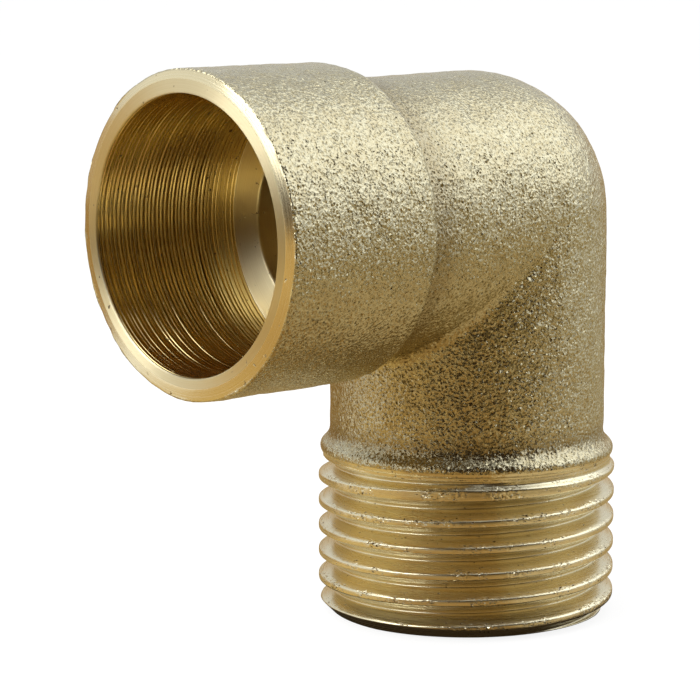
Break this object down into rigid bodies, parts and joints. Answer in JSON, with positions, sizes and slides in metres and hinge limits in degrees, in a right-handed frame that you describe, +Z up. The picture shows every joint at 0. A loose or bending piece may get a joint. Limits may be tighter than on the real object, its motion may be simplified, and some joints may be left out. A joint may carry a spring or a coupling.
{
  "type": "pipe elbow",
  "caption": "Right-angle forged brass pipe elbow that joins a soldered copper tube to a female pipe thread.",
  "frame": {"origin": "middle of the overall length and width, on the thread's end face, on which the elbow stands", "axes": "+Z up along the threaded leg, -X out of the cup's mouth, +Y across the elbow"},
  "size_m": [0.036, 0.0212, 0.0389],
  "materials": {
    "brass": "shot-blasted forging, turned at the rim, bore and thread"
  },
  "bodies": {
    "root": {"elbow_body": "brass"}
  },
  "joints": []
}
